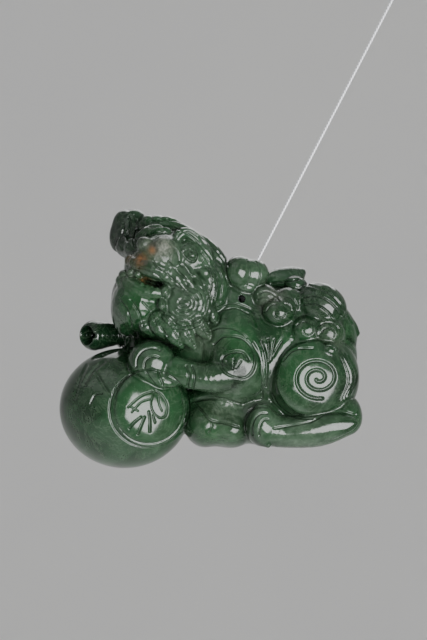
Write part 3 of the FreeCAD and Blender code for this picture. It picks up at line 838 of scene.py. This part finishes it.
# tints laid over the stone, each made of soft balls: x, y, z, radius and strength; the darkest one is partly
# painted shade
TINTS = {
    "pale": [
        (-2.9, -9.0, 14.1, 3.6, 0.9), (3.0, -9.0, 11.8, 4.0, 0.9), (18.2, -9.0, 3.2, 5.0, 0.9),
        (27.1, -7.0, 5.8, 4.0, 0.9), (4.5, -7.0, 3.8, 3.6, 0.6), (-1.3, -7.0, 6.2, 3.0, 0.5),
        (-7.6, -9.0, 32.2, 3.0, 0.5), (10.8, -8.0, 11.3, 3.6, 0.6), (-5.6, -8.0, 30.9, 7.5, 0.8),
        (7.7, -4.0, 34.1, 5.0, 0.95), (22.5, -8.0, 3.5, 8.0, 0.85), (10.8, -9.0, 4.9, 4.0, 0.6),
        (7.9, -8.0, 11.3, 5.0, 0.7), (-7.2, -8.0, 36.7, 5.5, 0.6), (22.4, -4.0, 28.8, 5.0, 0.6),
        (-8.5, -9.0, 3.2, 5.5, 0.45), (4.1, -7.0, 7.8, 5.0, 0.5), (-11.1, -9.0, 16.4, 5.0, 0.45),
        (-2.2, -5.0, 41.2, 5.0, 0.5), (-21.9, -7.0, 12.7, 6.0, 0.35), (-0.4, -8.0, 23.1, 4.5, 0.7),
        (21.6, -10.0, 14.1, 4.5, 0.35), (-8.0, 9.0, 31.0, 9.0, 0.9), (16.0, 9.5, 14.0, 10.0, 0.9),
        (-14.0, 11.0, 8.0, 9.0, 0.9), (6.0, 10.0, 22.0, 8.0, 0.8),
    ],
    # darker green in the bag's mouth, the crevice by the thread's hole, the far ear and mane and the folds of
    # back and waist: partly the stone's darker patches, partly painted shade in these hollows and on the
    # turned-away parts
    "dark_and_shade": [
        (-16.7, 2.0, 43.5, 4.5, 0.9), (-22.7, 4.0, 22.4, 7.5, 0.85), (18.6, 0.0, 34.4, 4.5, 0.8),
        (12.5, -3.0, 29.4, 4.0, 0.7), (-19.6, 4.0, 31.5, 5.5, 0.75), (18.2, -9.0, 6.3, 4.0, 0.35),
        (10.8, -7.0, 20.5, 4.0, 0.5), (-11.4, 0.0, 42.4, 4.5, 0.6), (6.9, -4.0, 29.6, 3.0, 0.6),
        (12.0, 5.0, 26.0, 5.0, 0.5),
    ],
    "vivid": [
        (6.1, -9.0, 21.5, 4.5, 0.7), (15.3, -8.0, 19.5, 5.0, 0.7), (-13.9, -11.0, 9.9, 4.5, 0.7),
        (27.1, -7.0, 6.8, 4.0, 0.7), (-13.0, -9.0, 29.3, 4.0, 0.8), (-7.2, -10.0, 7.5, 4.0, 0.6),
        (1.6, -7.0, 2.7, 4.5, 0.8), (26.2, -5.0, 22.4, 4.0, 0.7), (16.6, -10.0, 12.8, 4.5, 0.5),
        (-6.2, -10.0, 14.7, 3.5, 0.5), (-5.3, -4.0, 45.2, 4.5, 0.6), (8.0, 9.0, 18.0, 6.0, 0.6),
    ],
    "rust": [
        (-10.4, -11.0, 39.0, 0.9, 0.8), (-12.6, -10.0, 36.9, 1.3, 1.0), (-14.6, -8.0, 37.1, 1.2, 0.35),
        (-12.1, -7.0, 33.2, 1.5, 0.7),
    ],
    "frost": [
        (-8.5, -12.0, 39.5, 2.4, 1.0), (-12.0, -10.0, 40.2, 1.6, 0.3), (-14.8, -8.0, 34.4, 2.2, 0.3),
        (3.0, -8.0, 7.4, 3.6, 0.15), (-1.3, -8.0, 21.5, 3.0, 0.2), (24.2, -6.0, 21.5, 2.4, 0.4),
        (12.8, -5.0, 29.3, 3.0, 0.4),
    ],
    "dull": [
        (-11.1, -8.0, 39.1, 8.5, 1.0), (-12.1, -8.0, 29.3, 8.5, 0.5), (-3.3, -9.0, 29.3, 8.0, 0.8),
        (-7.2, -8.0, 23.4, 8.0, 0.8), (-1.3, -7.0, 37.9, 7.0, 0.5), (18.4, -5.0, 27.4, 10.0, 0.7),
        (3.0, -8.0, 7.4, 6.0, 0.8), (-10.0, 8.0, 34.0, 12.0, 0.8),
    ],
}


def tint(p, spots):
    """How strongly a tint's soft balls cover the points."""
    total = np.zeros(len(p), np.float32)
    for x, y, z, radius, strength in spots:
        gap = ((p - np.array([x, y, z], np.float32)) ** 2).sum(1) / radius ** 2
        total += strength * np.exp(-gap * 1.2)
    return np.clip(total, 0, 1)


# ---------------------------------------------------------------- from shapes to closed meshes

PITCH = 0.45                               # grid pitch before the mesh is refined
LAP = 0.45                                 # how far neighbouring regions run into each other
STEP = 0.02                                # the small step that measures a slope
CREASE = 0.42                              # half width of the cut between two regions
DEEP = 0.34                                # a cut this deep gets the full painted shade and the full roughness of a groove
CORNERS = [(i, j, k) for i in (0, 1) for j in (0, 1) for k in (0, 1)]


def shifted(grid, i, j, k, shape):
    """The block of a grid that starts at one corner and has the given shape."""
    return grid[i:i + shape[0], j:j + shape[1], k:k + shape[2]]


def net(values, origin):
    """A closed quad mesh where the values change sign: one vertex in each mixed cell."""
    inside = values < 0
    cells = tuple(n - 1 for n in values.shape)
    place = np.zeros(cells + (3,), np.float32)
    count = np.zeros(cells, np.float32)
    for a in CORNERS:
        for axis in range(3):
            if a[axis]:
                continue
            b = tuple(1 if n == axis else v for n, v in enumerate(a))
            va, vb = shifted(values, *a, cells), shifted(values, *b, cells)
            mixed = shifted(inside, *a, cells) != shifted(inside, *b, cells)
            t = np.where(mixed, va / np.where(mixed, va - vb, 1), 0)
            for n in range(3):
                place[..., n] += np.where(mixed, a[n] + (t if n == axis else 0), 0)
            count += mixed
    active = count > 0
    number = np.full(cells, -1, np.int64)
    number[active] = np.arange(active.sum())
    verts = np.argwhere(active) + place[active] / count[active][:, None]
    quads = []
    for axis in range(3):
        u, v = (axis + 1) % 3, (axis + 2) % 3
        size = list(values.shape)
        size[axis] -= 1
        near = tuple(slice(0, size[n]) for n in range(3))
        ahead = tuple(slice(1, None) if n == axis else slice(0, size[n]) for n in range(3))
        crossed = inside[near] != inside[ahead]
        at = np.argwhere(crossed)
        starts_inside = inside[near][crossed]
        ring = []
        for du, dv in ((0, 0), (-1, 0), (-1, -1), (0, -1)):
            cell = at.copy()
            cell[:, u] += du
            cell[:, v] += dv
            ring.append(number[cell[:, 0], cell[:, 1], cell[:, 2]])
        quad = np.stack(ring, 1)
        quad[~starts_inside] = quad[~starts_inside][:, ::-1]
        quads.append(quad)
    return (verts * PITCH + origin).astype(np.float32), np.vstack(quads)


def split(verts, quads):
    """Each quad into four."""
    edges = np.stack([quads, np.roll(quads, -1, 1)], 2).reshape(-1, 2)
    edges.sort(1)
    key = edges[:, 0] * len(verts) + edges[:, 1]
    unique, where = np.unique(key, return_inverse=True)
    middles = (verts[unique // len(verts)] + verts[unique % len(verts)]) / 2
    centres = verts[quads].mean(1)
    mid = len(verts) + where.reshape(-1, 4)
    centre = len(verts) + len(unique) + np.arange(len(quads))
    parts = [np.stack([quads[:, n], mid[:, n], centre, mid[:, n - 1]], 1) for n in range(4)]
    return np.vstack([verts, middles, centres]), np.vstack(parts)


def gradient(p, here, scope):
    """The field's slope at the points, by small steps."""
    slope = np.empty_like(p)
    for axis in range(3):
        step = np.zeros(3, np.float32)
        step[axis] = STEP
        slope[:, axis] = (stone(p + step, scope) - here) / STEP
    return slope


def settle(p, scope):
    """Moves the outer points on to the stone's surface; returns the points, normals and which are outer."""
    here = stone(p, scope)
    outer = here > -0.3 * PITCH
    slope = gradient(p[outer], here[outer], scope)
    size2 = np.maximum((slope ** 2).sum(1), 0.09)[:, None]
    step = here[outer, None] * slope / size2
    length = np.sqrt((step ** 2).sum(1))[:, None]
    p[outer] -= step * np.minimum(1, PITCH / np.maximum(length, 1e-6))
    return p, slope / np.sqrt(size2), outer


def region_mesh(number, values, origin, scope):
    """One region's closed mesh, engraved, with its tints."""
    levels = 2
    p, quads = net(values, origin)
    p, _, _ = settle(p, scope)
    for _ in range(levels):
        p, quads = split(p, quads)
    p, normal, outer = settle(p, scope)
    skin = p[outer]
    _, own = stone(skin, scope, True)
    order = np.argsort(own, 0)[:2]
    first, second = np.take_along_axis(own, order, 0)
    edge = np.maximum(EDGE[order[0]], EDGE[order[1]])
    crease = edge * np.exp(-((second - first) / CREASE) ** 2)
    depth = np.maximum(engraved(skin), crease)
    p[outer] = skin - normal * depth[:, None]
    tints = {name: tint(p, spots) for name, spots in TINTS.items()}
    # the groove mask: painted shade in the cuts and along the outlines between regions, and a rougher polish
    # there
    tints["groove"] = np.zeros(len(p), np.float32)
    tints["groove"][outer] = np.clip(depth / DEEP, 0, 1)
    return p, quads, tints


def blender_mesh(name, verts, quads, tints):
    """A smooth-shaded mesh with its tints as point attributes."""
    mesh = bpy.data.meshes.new(name)
    mesh.vertices.add(len(verts))
    mesh.vertices.foreach_set("co", hung(verts).astype(np.float32).ravel())
    mesh.loops.add(quads.size)
    mesh.loops.foreach_set("vertex_index", quads.ravel().astype(np.int32))
    mesh.polygons.add(len(quads))
    mesh.polygons.foreach_set("loop_start", np.arange(0, quads.size, 4, dtype=np.int32))
    mesh.update(calc_edges=True)
    mesh.validate()
    mesh.shade_smooth()
    for key, values in tints.items():
        mesh.attributes.new(key, "FLOAT", "POINT").data.foreach_set("value", values)
    return mesh


def carve():
    """Every region of the stone as a closed mesh in the place of its CAD node."""
    shapes = [(number, shape) for number, group in enumerate(REGIONS.values()) for shape in group]
    low = np.min([shape.low for _, shape in shapes], 0) - 2.0
    high = np.max([shape.high for _, shape in shapes], 0) + 2.0
    counts = np.ceil((high - low) / PITCH).astype(int)
    axes = [low[n] + PITCH * np.arange(counts[n]) for n in range(3)]
    grid = np.stack(np.meshgrid(*axes, indexing="ij"), -1).reshape(-1, 3).astype(np.float32)
    whole, own = stone(grid, shapes, True)
    best = own.argmin(0)
    first = own.min(0)
    rest = own.copy()
    np.put_along_axis(rest, best[None], 99.0, 0)
    second = rest.min(0)
    material = jade()
    for number, name in enumerate(NAMES):
        others = np.where(best == number, second, first)
        field = np.maximum(whole, own[number] - others - LAP).reshape(counts)
        filled = np.argwhere(field < 0)
        a, b = np.maximum(filled.min(0) - 2, 0), filled.max(0) + 3
        window = field[a[0]:b[0], a[1]:b[1], a[2]:b[2]]
        corner, far_corner = low + a * PITCH, low + b * PITCH
        scope = [(n, s) for n, s in shapes
                 if (s.low - MARGIN < far_corner).all() and (s.high + MARGIN > corner).all()]
        verts, quads, tints = region_mesh(number, window, corner, scope)
        put("jade_" + name, blender_mesh(name, verts, quads, tints), "carving", name, material)


# ---------------------------------------------------------------- jade

def jade():
    """Polished jade: mottled greens, veins and rust, painted shade in the cuts, hollows and turned-away
    parts, with facets and frost where it is less polished.
    """
    material, add = shader("jade")
    where = add("ShaderNodeTexCoord").outputs["Object"]
    tints = {}
    for name in (*TINTS, "groove"):
        tints[name] = add("ShaderNodeAttribute", attribute_name=name).outputs["Fac"]
    cloud = noise(add, where, 75.0, 5.0, 0.6, 0.8)
    fine = noise(add, where, 420.0, 6.0, 0.65, 0.4)
    grain = noise(add, where, 2400.0, 3.0, 0.6)
    veins = noise(add, where, 150.0, 4.0, 0.7, 2.5)
    base = ramp(add, cloud, (0.30, (0.001, 0.007, 0.002)), (0.48, (0.003, 0.017, 0.005)),
                (0.60, (0.007, 0.032, 0.011)), (0.74, (0.022, 0.054, 0.027)))
    pale = ramp(add, fine, (0.30, (0.016, 0.038, 0.018)), (0.70, (0.058, 0.092, 0.060)))
    vivid = ramp(add, fine, (0.30, (0.001, 0.024, 0.003)), (0.70, (0.004, 0.060, 0.011)))
    # painted shade in hollows and on turned-away parts, mixed with the stone's darker patches
    dark_and_shade = ramp(add, fine, (0.30, (0.002, 0.005, 0.003)), (0.70, (0.004, 0.010, 0.006)))
    drift = ramp(add, cloud, (0.35, (0.35, 0.35, 0.35)), (0.65, (1, 1, 1)))
    colour = mix(add, times(add, tints["pale"], drift), base, pale)
    colour = mix(add, times(add, tints["vivid"], 0.7), colour, vivid)
    colour = mix(add, times(add, tints["dark_and_shade"], 0.8), colour, dark_and_shade)
    streak = ramp(add, veins, (0.47, (0, 0, 0)), (0.50, (1, 1, 1)), (0.53, (0, 0, 0)))
    colour = mix(add, times(add, streak, 0.22), colour, (0.090, 0.130, 0.085))
    specks = ramp(add, grain, (0.62, (0, 0, 0)), (0.72, (1, 1, 1)))
    colour = mix(add, times(add, specks, 0.16), colour, (0.070, 0.100, 0.065))
    # painted shade: the cuts and outlines darkened towards near black, in step with their depth
    colour = mix(add, times(add, tints["groove"], 0.30), colour, (0.004, 0.010, 0.005))
    frost = ramp(add, grain, (0.35, (0.045, 0.055, 0.040)), (0.65, (0.16, 0.165, 0.135)))
    colour = mix(add, times(add, tints["frost"], 0.85), colour, frost)
    stain = ramp(add, fine, (0.35, (0.090, 0.026, 0.005)), (0.65, (0.200, 0.080, 0.020)))
    patch = times(add, tints["rust"], ramp(add, fine, (0.36, (0.25, 0.25, 0.25)), (0.5, (1, 1, 1))))
    colour = mix(add, patch, colour, stain)
    smooth_part = ramp(add, fine, (0.35, (0.10, 0.10, 0.10)), (0.75, (0.17, 0.17, 0.17)))
    rough = mix(add, times(add, tints["dull"], 0.4), smooth_part, (0.30, 0.30, 0.30))
    rough = mix(add, tints["frost"], rough, (0.55, 0.55, 0.55))
    rough = mix(add, times(add, tints["groove"], 0.5), rough, (0.34, 0.34, 0.34))
    ripple = noise(add, where, 260.0, 2.0, 0.5)
    cells = add("ShaderNodeTexVoronoi", {"Scale": 720.0, "Randomness": 1.0}, {"Vector": where})
    facets = times(add, cells.outputs["Distance"], tints["dull"])
    lumps = times(add, noise(add, where, 1100.0, 4.0, 0.7), tints["frost"])
    normal = None
    for height, strength, distance in (
        (ripple, 0.10, 0.0003), (grain, 0.08, 0.00006), (facets, 0.50, 0.0005), (lumps, 0.6, 0.0009),
    ):
        links = {"Height": height}
        if normal:
            links["Normal"] = normal
        normal = add("ShaderNodeBump", {"Strength": strength, "Distance": distance}, links).outputs[0]
    surface = add(
        "ShaderNodeBsdfPrincipled",
        {"IOR": 1.45},
        {"Base Color": colour, "Roughness": rough, "Normal": normal},
    )
    add("ShaderNodeOutputMaterial", links={"Surface": surface.outputs[0]})
    return material


carve()


# ---------------------------------------------------------------- room and light

FLOOR = -0.45                              # metres below the hook point
FLAT = 0.9                                 # radius of the flat part of the floor
CURVE = 0.7                                # radius of the curve from floor to wall


def make_room():
    """A pale matt bowl: a flat floor well below the hanging piece, curving up all round."""
    material, add = shader("paper")
    where = add("ShaderNodeTexCoord").outputs["Object"]
    tone = ramp(add, noise(add, where, 3.0), (0.3, (0.86, 0.86, 0.86)), (0.7, (0.89, 0.89, 0.88)))
    surface = add("ShaderNodeBsdfPrincipled", {"Roughness": 0.9}, {"Base Color": tone})
    add("ShaderNodeOutputMaterial", links={"Surface": surface.outputs[0]})
    profile = [(0.02, FLOOR), (0.4, FLOOR), (FLAT, FLOOR)]
    for a in np.radians(np.arange(6, 91, 6)):
        profile.append((FLAT + CURVE * math.sin(a), FLOOR + CURVE * (1 - math.cos(a))))
    profile += [(FLAT + CURVE, 1.2), (FLAT + CURVE, 2.0)]
    sides, verts, faces = 96, [], []
    for r, z in profile:
        verts += [(r * math.cos(2 * math.pi * s / sides), r * math.sin(2 * math.pi * s / sides), z)
                  for s in range(sides)]
    for ring in range(len(profile) - 1):
        for s in range(sides):
            t = (s + 1) % sides
            faces.append((ring * sides + s, (ring + 1) * sides + s, (ring + 1) * sides + t, ring * sides + t))
    faces.append(tuple(range(sides)))
    mesh = bpy.data.meshes.new("room")
    mesh.from_pydata(verts, [], faces)
    mesh.shade_smooth()
    mesh.materials.append(material)
    room = bpy.data.objects.new("room", mesh)
    bpy.context.scene.collection.objects.link(room)


def area_light(name, place, width, height, power):
    """A white lamp, sized in metres, that faces the carving from a level-pose place in millimetres."""
    data = bpy.data.lights.new(name, "AREA")
    data.shape, data.size, data.size_y = "RECTANGLE", width, height
    data.energy = power
    lamp = bpy.data.objects.new(name, data)
    start, end = Vector(hung(place)), Vector(hung((0, 0, 20)))
    lamp.location = start
    lamp.rotation_euler = (end - start).to_track_quat("-Z", "Y").to_euler()
    bpy.context.scene.collection.objects.link(lamp)


def make_light():
    """A key lamp low at the viewer's right, a weak fill high at the left, one high behind, an even room."""
    area_light("key", (190, -400, -50), 0.34, 0.28, 4.6)
    area_light("fill", (-260, -300, 420), 0.50, 0.40, 0.5)
    area_light("far_side", (40, 330, 380), 0.45, 0.40, 1.7)
    world = bpy.data.worlds.new("world")
    world.use_nodes = True
    inputs = world.node_tree.nodes["Background"].inputs
    inputs["Color"].default_value = (1.0, 1.0, 1.0, 1)
    inputs["Strength"].default_value = 0.52
    bpy.context.scene.world = world


make_room()
make_light()
